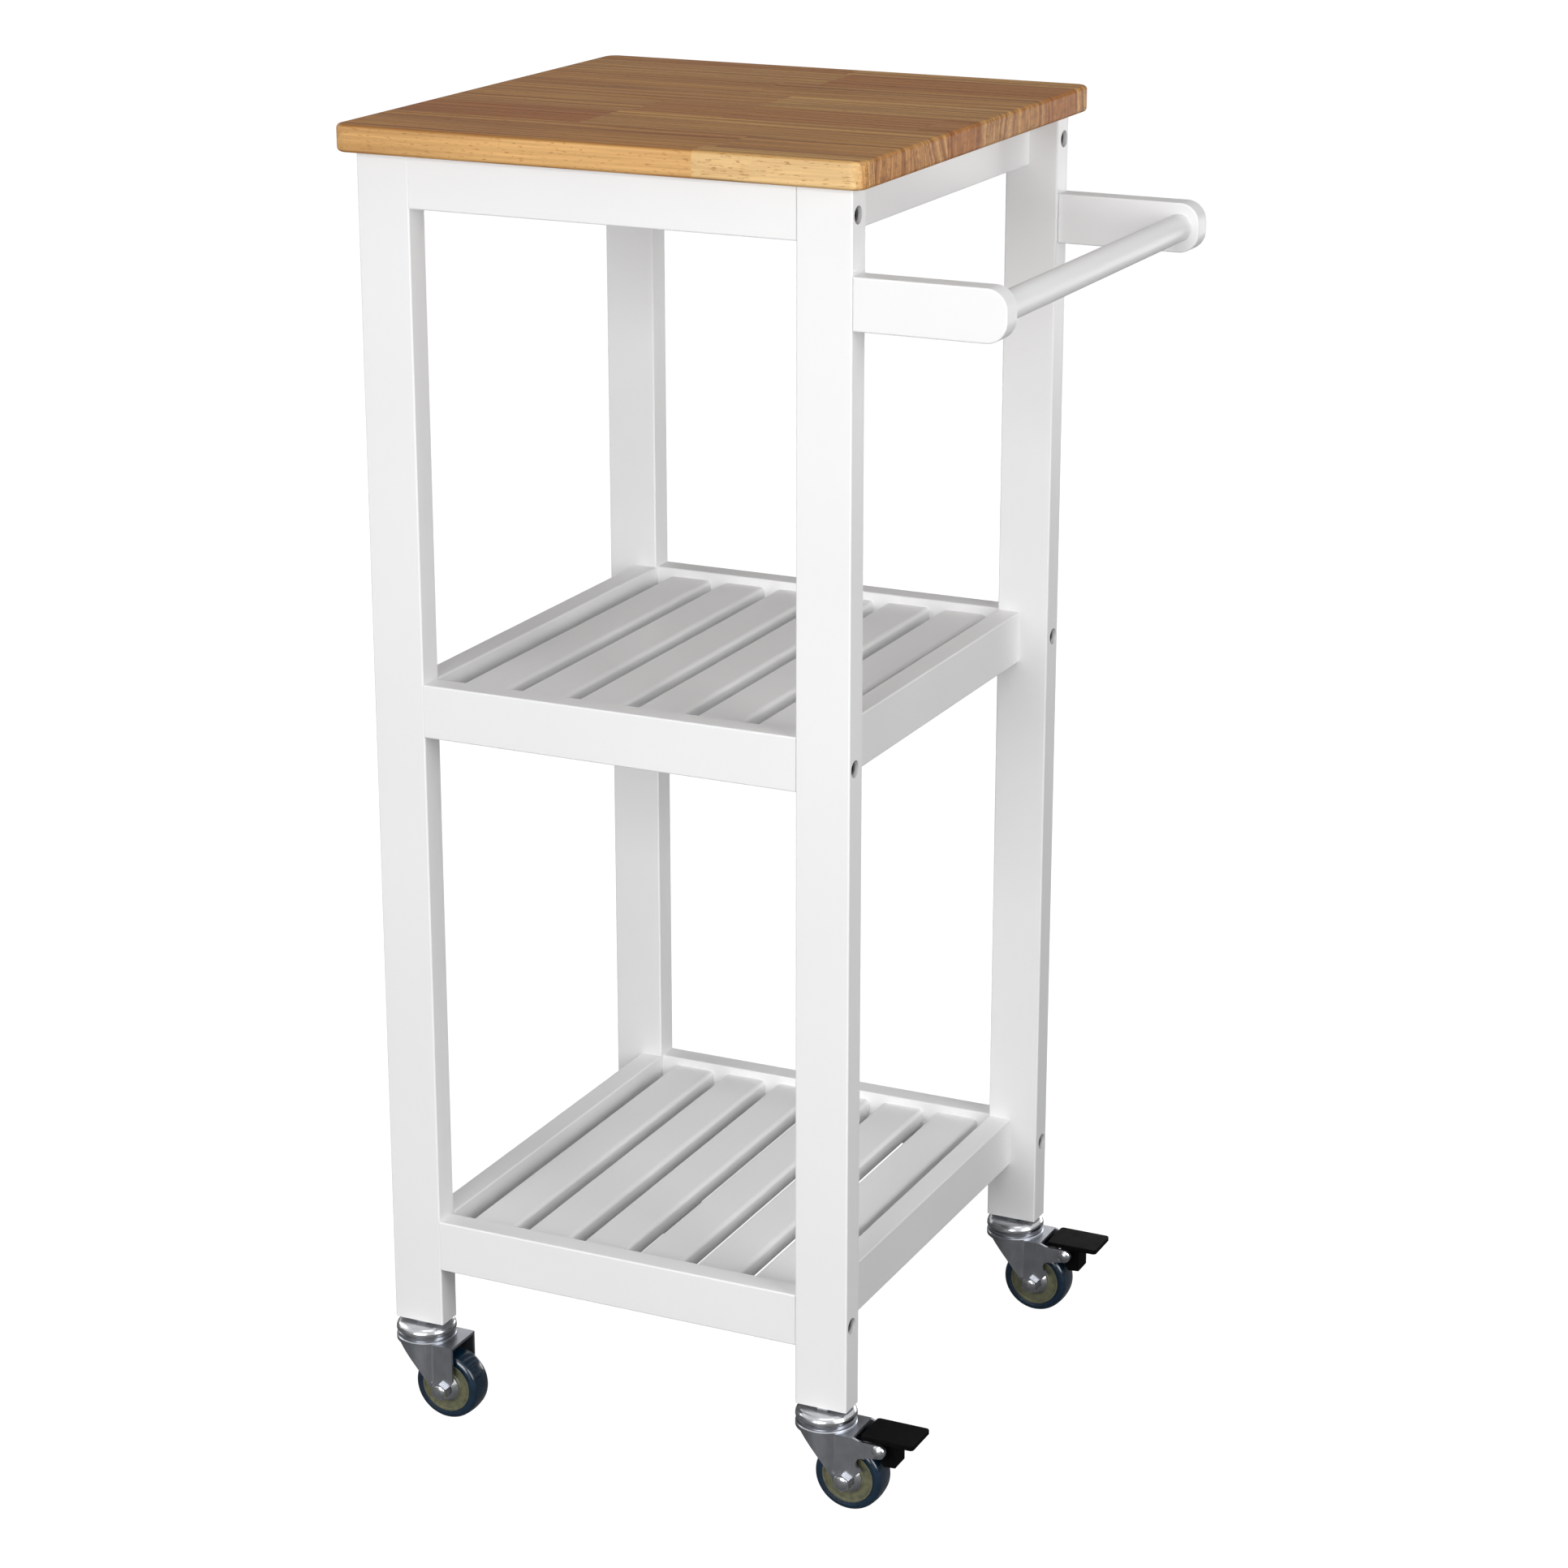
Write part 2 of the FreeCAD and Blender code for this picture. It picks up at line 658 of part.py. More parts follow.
def caster_stem(x, y):
    """Threaded stem, hexagonal collar, domed upper race and the kingpin with its riveted lower head."""
    collar_bottom = CASTER_HEIGHT - COLLAR_HEIGHT
    stem = rod(STEM_DIAMETER / 2, vec(x, y, collar_bottom), vec(x, y, CASTER_HEIGHT + STEM_LENGTH))
    collar = hexagon(COLLAR_WIDTH, vec(x, y, collar_bottom), vec(x, y, CASTER_HEIGHT))
    head_top = CROWN_BOTTOM - AXIAL_GAP
    dome = [(0, collar_bottom), (RACE_FLAT_RADIUS, collar_bottom)]
    for degrees in (75, 60, 45, 30, 15, 0):
        angle = math.radians(degrees)
        r = RACE_RADIUS - RACE_SHOULDER * (1 - math.cos(angle))
        z = collar_bottom - RACE_SHOULDER * (1 - math.sin(angle))
        dome.append((r, z))
    race = turned(
        dome
        + [
            (RACE_RADIUS, RACE_BOTTOM),
            (RACE_RADIUS - RACE_LIP, RACE_BOTTOM),
            (RACE_RADIUS - RACE_LIP, RACE_CEILING),
            (KINGPIN_RADIUS, RACE_CEILING),
            (KINGPIN_RADIUS, head_top),
            (KINGPIN_HEAD_RADIUS, head_top),
            (KINGPIN_HEAD_RADIUS - 1, head_top - KINGPIN_HEAD_HEIGHT),
            (0, head_top - KINGPIN_HEAD_HEIGHT),
        ],
        x,
        y,
    )
    return fuse_all([stem, collar, race])


def caster_balls(x, y):
    z = CROWN_TOP + BALL_RADIUS + BALL_GAP
    balls = []
    for i in range(BALL_COUNT):
        angle = 2 * math.pi * i / BALL_COUNT
        centre = vec(
            x + BALL_CIRCLE_RADIUS * math.cos(angle), y + BALL_CIRCLE_RADIUS * math.sin(angle), z
        )
        balls.append(Part.makeSphere(BALL_RADIUS, centre))
    return balls


def fork_crown(x, y):
    """The fork's round crown, with a bead round the ball track and a groove under the bead."""
    bore = KINGPIN_RADIUS + RUNNING_FIT
    return turned(
        [
            (bore, CROWN_BOTTOM),
            (RACE_RADIUS, CROWN_BOTTOM),
            (RACE_RADIUS, CROWN_TOP - 0.9),
            (RACE_RADIUS - 0.6, CROWN_TOP - 0.2),
            (GROOVE_RADIUS, CROWN_TOP),
            (GROOVE_RADIUS, CROWN_TOP + 0.6),
            (BEAD_OUTER_RADIUS, CROWN_TOP + 1.2),
            (BEAD_OUTER_RADIUS, BEAD_TOP - 0.6),
            (BEAD_OUTER_RADIUS - 0.8, BEAD_TOP),
            (BEAD_INNER_RADIUS, BEAD_TOP),
            (BEAD_INNER_RADIUS, CROWN_TOP),
            (bore, CROWN_TOP),
        ],
        x,
        y,
    )


def fork_walls(x, y, reach):
    """The upright sheet in plan: round about the crown, then two flat cheeks with a soft crease between."""
    outer = u_prism(x, y, RACE_RADIUS, CHEEK_OUTER, reach, CREASE_RADIUS)
    inner = u_prism(x, y, RACE_RADIUS - SHEET, CHEEK_OUTER - SHEET, reach + 1, CREASE_RADIUS + SHEET)
    return outer.cut(inner)


def u_prism(x, y, radius, half_width, reach, crease_radius):
    """A solid whose plan is a round front with parallel sides, up to the top plate."""
    crease = math.sqrt(radius**2 - half_width**2)
    near = vec(x + crease, y - half_width, 0)
    far = vec(x + crease, y + half_width, 0)
    far_end = vec(x + reach, y + half_width, 0)
    near_end = vec(x + reach, y - half_width, 0)
    edges = [
        Part.Arc(near, vec(x - radius, y, 0), far).toShape(),
        Part.LineSegment(far, far_end).toShape(),
        Part.LineSegment(far_end, near_end).toShape(),
        Part.LineSegment(near_end, near).toShape(),
    ]
    solid = Part.Face(Part.Wire(edges)).extrude(vec(0, 0, CROWN_BOTTOM + SHEET))
    creases = [edge for edge in edges_along(solid, Z_AXIS) if edge.BoundBox.XMax < x + crease + 0.1]
    return solid.makeFillet(crease_radius, creases)


def leading_outline(x):
    """The fork's side view from the top plate down the leading arc to the axle."""
    top, middle, bottom = [vec(x + px, 0, pz) for px, pz in LEADING_EDGE]
    corner_low = vec(x - RACE_RADIUS - 1, 0, CROWN_BOTTOM)
    corner_high = vec(x - RACE_RADIUS - 1, 0, CROWN_BOTTOM + SHEET)
    return [
        Part.LineSegment(corner_high, corner_low).toShape(),
        Part.LineSegment(corner_low, top).toShape(),
        Part.Arc(top, middle, bottom).toShape(),
    ]


def side_view(x, y, trailing_points):
    """The fork's whole side view as a solid right across it: the leading arc, then the given points."""
    edges = leading_outline(x)
    first = vec(x - RACE_RADIUS - 1, 0, CROWN_BOTTOM + SHEET)
    points = [vec(x + LEADING_EDGE[-1][0], 0, LEADING_EDGE[-1][1])]
    points += [vec(px, 0, pz) for px, pz in trailing_points] + [first]
    edges += [Part.LineSegment(a, b).toShape() for a, b in zip(points, points[1:])]
    face = Part.Face(Part.Wire(edges))
    width = 2 * RACE_RADIUS + 2
    face.translate(vec(0, y - width / 2, 0))
    return face.extrude(vec(0, width, 0))


def plain_side(x, y):
    """Side view of a fork without a brake: a square tab above the axle boss."""
    axle_x = x + CASTER_TRAIL
    axle_z = WHEEL_DIAMETER / 2
    return side_view(
        x,
        y,
        [
            (axle_x, axle_z),
            (axle_x + AXLE_BOSS_RADIUS - 0.5, axle_z),
            (axle_x + AXLE_BOSS_RADIUS, axle_z + 3),
            (x + TAB_REACH, TAB_BOTTOM),
            (x + TAB_REACH, CROWN_BOTTOM + SHEET),
        ],
    )


def braked_side(x, y):
    """Side view of a braked fork: it reaches out to the pedal's rivet over a round notch."""
    axle_x = x + CASTER_TRAIL
    axle_z = WHEEL_DIAMETER / 2
    pivot_x = x + BRAKE_PIVOT_X
    underside = BRAKE_PIVOT_Z - BRAKE_BOSS_RADIUS
    top = BRAKE_PIVOT_Z + BRAKE_BOSS_RADIUS - 0.2
    outline = side_view(
        x,
        y,
        [
            (axle_x, axle_z),
            (axle_x + AXLE_BOSS_RADIUS - 0.5, axle_z),
            (axle_x + AXLE_BOSS_RADIUS, axle_z + 3),
            (x + NOTCH_X, NOTCH_Z - NOTCH_RADIUS),
            (x + NOTCH_X, NOTCH_Z),
            (x + NOTCH_X + 2, underside - 2),
            (pivot_x, underside),
            (pivot_x, top),
            (x + CHEEK_SHOULDER_X, top),
            (x + BRAKED_PLATE_REACH, CROWN_BOTTOM + SHEET),
        ],
    )
    boss = across(BRAKE_BOSS_RADIUS, pivot_x, BRAKE_PIVOT_Z, y, CHEEK_OUTER)
    notch = across(NOTCH_RADIUS, x + NOTCH_X, NOTCH_Z, y, RACE_RADIUS + 1)
    return fuse_all([outline, boss]).cut(notch)


def across(radius, x, z, y, half_length):
    """A round bar along Y, centred on the caster."""
    return rod(radius, vec(x, y - half_length, z), vec(x, y + half_length, z))


def fork(x, y, braked):
    """A pressed steel fork: crown, round leading wall, flat top plate and two cheeks."""
    side = braked_side(x, y) if braked else plain_side(x, y)
    wall_reach = BRAKE_PIVOT_X + BRAKE_BOSS_RADIUS if braked else TAB_REACH
    plate_reach = BRAKED_PLATE_REACH if braked else TAB_REACH
    axle_x = x + CASTER_TRAIL
    axle_z = WHEEL_DIAMETER / 2
    boss = across(AXLE_BOSS_RADIUS, axle_x, axle_z, y, CHEEK_OUTER)
    walls = fork_walls(x, y, wall_reach).common(fuse_all([side, boss]))
    plate = block(
        x, x + plate_reach, y - CHEEK_OUTER, y + CHEEK_OUTER, CROWN_BOTTOM, CROWN_BOTTOM + SHEET
    )
    whole = fuse_all([fork_crown(x, y), plate, walls])
    bore = rod(KINGPIN_RADIUS + RUNNING_FIT, vec(x, y, CROWN_BOTTOM - 1), vec(x, y, CROWN_TOP + 1))
    head = rod(KINGPIN_HEAD_RADIUS + 0.5, vec(x, y, 0), vec(x, y, CROWN_BOTTOM))
    cutters = [bore, head, across(AXLE_DIAMETER / 2 + STATIC_FIT, axle_x, axle_z, y, RACE_RADIUS)]
    if braked:
        rivet_x = x + BRAKE_PIVOT_X
        cutters.append(across(RIVET_RADIUS + STATIC_FIT, rivet_x, BRAKE_PIVOT_Z, y, RACE_RADIUS))
    return cut_all(whole, cutters)


def caster_axle(x, y):
    """The axle bolt, the sleeve that the wheel turns on, and a domed nut at the front."""
    axle_x = x + CASTER_TRAIL
    z = WHEEL_DIAMETER / 2
    radius = AXLE_DIAMETER / 2
    nut_end = CHEEK_OUTER + AXLE_NUT_HEIGHT
    head_back = CHEEK_OUTER + AXLE_HEAD_HEIGHT
    shank = rod(radius, vec(axle_x, y - nut_end, z), vec(axle_x, y + CHEEK_OUTER + 1, z))
    head = hexagon(AXLE_HEX_WIDTH, vec(axle_x, y + CHEEK_OUTER, z), vec(axle_x, y + head_back, z))
    bolt = fuse_all([shank, head])
    nut = hexagon(AXLE_HEX_WIDTH, vec(axle_x, y - nut_end, z), vec(axle_x, y - CHEEK_OUTER, z))
    dome = [(0, -nut_end)]
    for degrees in range(0, 91, 15):
        angle = math.radians(degrees)
        height = AXLE_DOME_HEIGHT * math.sin(angle)
        dome.append((AXLE_DOME_RADIUS * math.cos(angle), -nut_end - height))
    through = rod(radius + STATIC_FIT, vec(axle_x, y - nut_end, z), vec(axle_x, y, z))
    nut = fuse_all([nut.cut(through), turned_on_axle(dome, axle_x, y, z)])
    inner = CHEEK_OUTER - SHEET - STATIC_FIT
    sleeve = rod(SLEEVE_RADIUS, vec(axle_x, y - inner, z), vec(axle_x, y + inner, z))
    sleeve = sleeve.cut(rod(radius + STATIC_FIT, vec(axle_x, y - inner, z), vec(axle_x, y + inner, z)))
    return group([bolt, nut, sleeve])


def wheel_core(x, y):
    """The moulded wheel centre: hub, recessed web and a rim whose rib keys into the tyre."""
    half = WHEEL_WIDTH / 2
    rib = CORE_RIB_WIDTH / 2
    bore = SLEEVE_RADIUS + RUNNING_FIT
    one_side = [
        (bore, half),
        (HUB_CAP_RADIUS + 0.6, half),
        (HUB_CAP_RADIUS + 1.2, half - WEB_RECESS),
        (CORE_RADIUS - 1.8, half - WEB_RECESS),
        (CORE_RADIUS - 1.2, half - 0.4),
        (CORE_RADIUS, half - 0.4),
        (CORE_RADIUS, rib),
        (CORE_RIB_RADIUS, rib),
    ]
    other_side = [(r, -t) for r, t in reversed(one_side)]
    return turned_on_axle(one_side + other_side, x + CASTER_TRAIL, y, WHEEL_DIAMETER / 2)


def tyre(x, y):
    """The soft tyre: a slightly crowned tread with rounded shoulders, bonded round the core."""
    half = WHEEL_WIDTH / 2
    rib = CORE_RIB_WIDTH / 2
    outer = WHEEL_DIAMETER / 2
    inner_radius = CORE_RADIUS + STATIC_FIT
    rib_radius = CORE_RIB_RADIUS + STATIC_FIT
    rib_half = rib + STATIC_FIT
    one_side = [(inner_radius, half - 0.5)]
    shoulder_r = outer - TREAD_CROWN - TREAD_SHOULDER
    shoulder_t = half - TREAD_SHOULDER
    for degrees in range(0, 91, 10):
        angle = math.radians(degrees)
        one_side.append(
            (shoulder_r + TREAD_SHOULDER * math.sin(angle), shoulder_t + TREAD_SHOULDER * math.cos(angle))
        )
    for part in (0.75, 0.5, 0.25):
        one_side.append((outer - TREAD_CROWN * part**2, shoulder_t * part))
    profile = one_side + [(outer, 0)]
    profile += [(r, -t) for r, t in reversed(one_side)]
    profile += [(inner_radius, -rib_half), (rib_radius, -rib_half), (rib_radius, rib_half)]
    profile += [(inner_radius, rib_half)]
    return turned_on_axle(profile, x + CASTER_TRAIL, y, outer)


def hub_caps(x, y):
    """Two pressed steel dust caps on the wheel's hub."""
    face = WHEEL_WIDTH / 2 + 0.02
    crown = CHEEK_OUTER - SHEET - HUB_CAP_GAP
    profile = [
        (HUB_CAP_HOLE, face),
        (HUB_CAP_RADIUS, face),
        (HUB_CAP_RADIUS, face + HUB_CAP_RIM),
        (HUB_CAP_CROWN_RADIUS + 1.5, crown - HUB_CAP_RIM),
        (HUB_CAP_CROWN_RADIUS, crown),
        (HUB_CAP_HOLE, crown),
    ]
    near = turned_on_axle([(r, -t) for r, t in profile], x + CASTER_TRAIL, y, WHEEL_DIAMETER / 2)
    return group([near, mirrored_in_y(near, y)])


def brake_rivet(x, y):
    """The pedal's pivot, with a domed head outside each cheek."""
    pivot_x = x + BRAKE_PIVOT_X
    z = BRAKE_PIVOT_Z
    end = CHEEK_OUTER
    profile = [(0, -end - RIVET_HEAD_HEIGHT)]
    for degrees in (20, 40, 60, 80):
        angle = math.radians(degrees)
        profile.append(
            (BRAKE_BOSS_RADIUS * math.sin(angle), -end - 0.4 - (RIVET_HEAD_HEIGHT - 0.4) * math.cos(angle))
        )
    profile += [(BRAKE_BOSS_RADIUS, -end), (RIVET_RADIUS, -end), (RIVET_RADIUS, 0), (0, 0)]
    half = turned_on_axle(profile, pivot_x, y, z)
    return fuse_all([half, mirrored_in_y(half, y)])


def brake_pedal(x, y):
    """Foot plate and, under it, the block whose shoe swings down against the tread."""
    top = PEDAL_UNDERSIDE + PEDAL_THICKNESS
    plate = block(
        x + PEDAL_START_X,
        x + PEDAL_END_X,
        y - PEDAL_HALF_WIDTH,
        y + PEDAL_HALF_WIDTH,
        PEDAL_UNDERSIDE,
        top,
    )
    plate = plate.makeFillet(PEDAL_CORNER, edges_along(plate, Z_AXIS))
    rim = [edge for edge in plate.Edges if edge.BoundBox.ZMin > top - 0.01]
    plate = plate.makeFillet(PEDAL_RIM, rim)
    under = side_plate(
        [(x + px, pz) for px, pz in PEDAL_BLOCK_OUTLINE],
        y - PEDAL_BLOCK_HALF_WIDTH,
        y + PEDAL_BLOCK_HALF_WIDTH,
    )
    pivot = rod(
        RIVET_RADIUS + RUNNING_FIT,
        vec(x + BRAKE_PIVOT_X, y - CHEEK_OUTER, BRAKE_PIVOT_Z),
        vec(x + BRAKE_PIVOT_X, y + CHEEK_OUTER, BRAKE_PIVOT_Z),
    )
    return fuse_all([plate, under]).cut(pivot)


# ---------------------------------------------------------------------------------------------------
# All pieces
# ---------------------------------------------------------------------------------------------------
def save_frame():
    save("butcher_block_top", butcher_block_top())
    for end, side in CORNERS:
        save("leg_" + end + "_" + side, leg(end, side))
    for rail in RAIL_SPANS:
        for end in END_OF:
            save(end + "_" + rail, long_rail(end, rail))
        for side in SIDE_OF:
            save(side + "_" + rail, side_rail(side, rail))
    for shelf, rail_top in SHELF_RAIL_TOPS.items():
        save(shelf + "_slats", shelf_slats(rail_top))


def save_fasteners():
    corner_rails = [(end, side, rail_middle(rail)) for end, side in CORNERS for rail in RAIL_SPANS]
    save("frame_bolts", group([frame_bolt(end, side, z) for end, side, z in corner_rails]))
    nuts = [barrel_nut(end, rail_nut_x(side), z) for end, side, z in corner_rails]
    save("barrel_nuts", group(nuts))
    save("frame_dowels", group(frame_dowels()))
    save("shelf_dowels", group(shelf_dowels()))
    save("top_brackets", group([top_bracket(*place) for place in bracket_places()]))
    save("bracket_screws", group([screw(*place) for place in bracket_screw_places()]))
    save("caster_inserts", group([caster_insert(*leg_axis(end, side)) for end, side in CORNERS]))


def save_handle():
    for end in END_OF:
        save("handle_arm_" + end, handle_arm(end))
    save("handle_bar", handle_bar())
    save("handle_bolts", group([handle_bolt(end) for end in END_OF]))
    save("handle_inserts", group([handle_insert(end) for end in END_OF]))


def save_casters():
    balls = []
    for end, side in CORNERS:
        x, y = leg_axis(end, side)
        corner = end + "_" + side
        braked = side == "right"
        balls += caster_balls(x, y)
        save("caster_stem_" + corner, caster_stem(x, y))
        save("caster_fork_" + corner, fork(x, y, braked))
        save("caster_axle_" + corner, caster_axle(x, y))
        save("wheel_core_" + corner, wheel_core(x, y))
        save("tyre_" + corner, tyre(x, y))
        save("hub_caps_" + corner, hub_caps(x, y))
        if braked:
            save("brake_pedal_" + corner, brake_pedal(x, y))
            save("brake_rivet_" + corner, brake_rivet(x, y))
    save("caster_balls", group(balls))


os.makedirs("parts", exist_ok=True)
save_frame()
save_fasteners()
save_handle()
save_casters()
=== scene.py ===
"""A rolling butcher block cart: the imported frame, its worktop of glued staves, finishes, studio and camera.

All lengths are in metres. X runs along the worktop's staves, towards the handle.
The front faces -Y, and Z is up.
"""

import math
import random

import bmesh
import bpy
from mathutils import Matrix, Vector


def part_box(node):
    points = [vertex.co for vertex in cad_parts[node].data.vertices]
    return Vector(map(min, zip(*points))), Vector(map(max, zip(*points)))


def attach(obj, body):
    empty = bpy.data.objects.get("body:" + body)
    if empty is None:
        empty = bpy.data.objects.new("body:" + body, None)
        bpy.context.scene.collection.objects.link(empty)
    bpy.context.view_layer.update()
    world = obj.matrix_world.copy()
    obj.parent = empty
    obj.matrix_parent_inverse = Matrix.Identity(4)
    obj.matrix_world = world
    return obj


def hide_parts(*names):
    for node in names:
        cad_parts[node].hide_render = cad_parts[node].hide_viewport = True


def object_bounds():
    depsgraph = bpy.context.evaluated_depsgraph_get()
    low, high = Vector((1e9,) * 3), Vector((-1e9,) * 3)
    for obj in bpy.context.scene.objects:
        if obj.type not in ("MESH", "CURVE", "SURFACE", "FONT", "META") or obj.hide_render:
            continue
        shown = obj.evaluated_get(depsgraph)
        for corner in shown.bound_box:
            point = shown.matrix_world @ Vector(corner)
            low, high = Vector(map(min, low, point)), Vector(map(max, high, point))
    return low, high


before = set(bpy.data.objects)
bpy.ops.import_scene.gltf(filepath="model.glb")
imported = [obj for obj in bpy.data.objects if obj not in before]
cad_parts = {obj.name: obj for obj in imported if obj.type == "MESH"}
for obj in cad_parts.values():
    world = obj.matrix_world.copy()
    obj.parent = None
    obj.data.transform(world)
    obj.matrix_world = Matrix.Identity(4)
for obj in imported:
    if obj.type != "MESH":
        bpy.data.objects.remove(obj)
cad_low, cad_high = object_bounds()

MM = 0.001
GRAIN_SEED = 23

# ---------------------------------------------------------------- camera
CAMERA_AZIMUTH = math.radians(25.31)
CAMERA_ELEVATION = math.radians(18.03)
CAMERA_DISTANCE = 2.6656
CAMERA_LENS = 88.0
SENSOR_WIDTH = 36.0
NEAR_CLIP = 0.05
FAR_CLIP = 200.0
AIM_OFFSET = Vector((-0.0014, 0.0, -0.0111))


def direction(azimuth, elevation):
    """The unit vector from the object towards a viewer at these angles, in radians."""
    return Vector((
        math.sin(azimuth) * math.cos(elevation),
        -math.cos(azimuth) * math.cos(elevation),
        math.sin(elevation),
    ))


def look_from(obj, target, back, distance):
    """Puts a camera or lamp at that distance from the target, facing it."""
    obj.location = target + back * distance
    obj.rotation_mode = "QUATERNION"
    obj.rotation_quaternion = (-back).to_track_quat("-Z", "Y")


scene = bpy.context.scene
centre = (cad_low + cad_high) / 2
camera = bpy.data.objects.new("camera", bpy.data.cameras.new("camera"))
scene.collection.objects.link(camera)
camera.data.lens = CAMERA_LENS
camera.data.sensor_width = SENSOR_WIDTH
camera.data.clip_start = NEAR_CLIP
camera.data.clip_end = FAR_CLIP
look_from(camera, centre + AIM_OFFSET, direction(CAMERA_AZIMUTH, CAMERA_ELEVATION), CAMERA_DISTANCE)
scene.camera = camera


# ---------------------------------------------------------------- node helpers
class Finish:
    """A material with a Principled shader, and short calls that add and join nodes."""

    def __init__(self, name, **values):
        self.material = bpy.data.materials.new(name)
        self.material.use_nodes = True
        self.nodes = self.material.node_tree.nodes
        self.links = self.material.node_tree.links
        self.nodes.clear()
        output = self.nodes.new("ShaderNodeOutputMaterial")
        self.shader = self.nodes.new("ShaderNodeBsdfPrincipled")
        self.links.new(self.shader.outputs["BSDF"], output.inputs["Surface"])
        self.set(self.shader, values)

    def set(self, node, values):
        for key, value in values.items():
            socket = node.inputs[key if isinstance(key, int) else key.replace("_", " ")]
            if isinstance(value, bpy.types.NodeSocket):
                self.links.new(value, socket)
            else:
                socket.default_value = value

    def add(self, kind, output=0, options=None, **values):
        node = self.nodes.new("ShaderNode" + kind)
        for key, value in (options or {}).items():
            setattr(node, key, value)
        self.set(node, values)
        return node.outputs[output]

    def math(self, operation, *values):
        node = self.nodes.new("ShaderNodeMath")
        node.operation = operation
        self.set(node, dict(enumerate(values)))
        return node.outputs[0]

    def vector_math(self, operation, *values):
        node = self.nodes.new("ShaderNodeVectorMath")
        node.operation = operation
        self.set(node, dict(enumerate(values)))
        return node.outputs["Value" if operation in ("LENGTH", "DOT_PRODUCT") else "Vector"]

    def position(self):
        return self.add("TexCoord", "Object")

    def stretched(self, scales, position=None):
        return self.vector_math("MULTIPLY", position or self.position(), scales)

    def noise(self, vector, scale=1.0, detail=2.0, roughness=0.5):
        return self.add("TexNoise", "Fac", Vector=vector, Scale=scale, Detail=detail, Roughness=roughness)

    def map(self, value, low, high, to_low, to_high):
        node = self.nodes.new("ShaderNodeMapRange")
        self.set(node, dict(enumerate((value, low, high, to_low, to_high))))
        return node.outputs[0]

    def mix(self, factor, first, second, blend="MIX"):
        node = self.nodes.new("ShaderNodeMix")
        node.data_type = "RGBA"
        node.blend_type = blend
        self.set(node, {0: factor, 6: first, 7: second})
        return node.outputs[2]

    def bump(self, height, distance, strength):
        return self.add("Bump", Height=height, Distance=distance, Strength=strength)

    def finish(self, **values):
        self.set(self.shader, values)
        return self.material


def srgb(red, green, blue):
    """A display colour, 0 to 255, as the linear colour that a shader takes."""
    def linear(v):
        v /= 255
        return v / 12.92 if v <= 0.04045 else ((v + 0.055) / 1.055) ** 2.4
    return (linear(red), linear(green), linear(blue), 1.0)


# ---------------------------------------------------------------- finishes
# Wood colours: each block lies between dark and pale by its tone, and between plain and warm by its warmth.
PALE_WOOD = srgb(252, 218, 160)
PALE_WARM_WOOD = srgb(247, 198, 124)
DARK_WOOD = srgb(206, 158, 104)
DARK_WARM_WOOD = srgb(198, 136, 80)
RING_BROWN = srgb(138, 84, 42)
FIBRE_BROWN = srgb(130, 82, 44)
STREAK_BROWN = srgb(104, 60, 30)
PORE_BROWN = srgb(154, 90, 46)
# Painted shade: this tint darkens the worktop's faces above and below against its sides.
LEVEL_FACE_SHADE_TINT = (0.8, 0.685, 0.46, 1.0)
END_GRAIN_TINT = (1.0, 0.86, 0.72, 1.0)

# Wood grain. The scales are in features per metre along X, Y and Z, drawn out along X as the staves run.
# The ring density is per metre from the pith, the bend is in rings, and the relief is in metres.
RING_DENSITY = 170.0
RING_BEND = 5.0
RING_BEND_SCALE = (3.0, 14.0, 14.0)
FIBRE_SCALE = (9.0, 520.0, 520.0)
CLOUD_SCALE = (7.0, 30.0, 30.0)
STREAK_SCALE = (4.0, 190.0, 190.0)
PORE_SCALE = (190.0, 1150.0, 1150.0)
GRAIN_RELIEF = 0.00006

# Linear colours and reliefs of the other finishes. Reliefs are in metres.
LACQUER_LOW = (0.87, 0.871, 0.874, 1)
LACQUER_HIGH = (0.89, 0.89, 0.89, 1)
LACQUER_SPECK = srgb(206, 200, 188)
ORANGE_PEEL_RELIEF = 0.000012
METAL_RELIEF = 0.000012
TYRE_DARK = (0.0012, 0.011, 0.026, 1)
TYRE_LIGHT = (0.0025, 0.021, 0.047, 1)
TYRE_SCUFF = (0.05, 0.06, 0.07, 1)
CORE_DARK = srgb(82, 84, 64)
CORE_LIGHT = srgb(108, 107, 82)
PEDAL_DARK = (0.002, 0.002, 0.0023, 1)
PEDAL_LIGHT = (0.004, 0.004, 0.0044, 1)
BEECH_DARK = srgb(196, 158, 116)
BEECH_LIGHT = srgb(222, 190, 150)


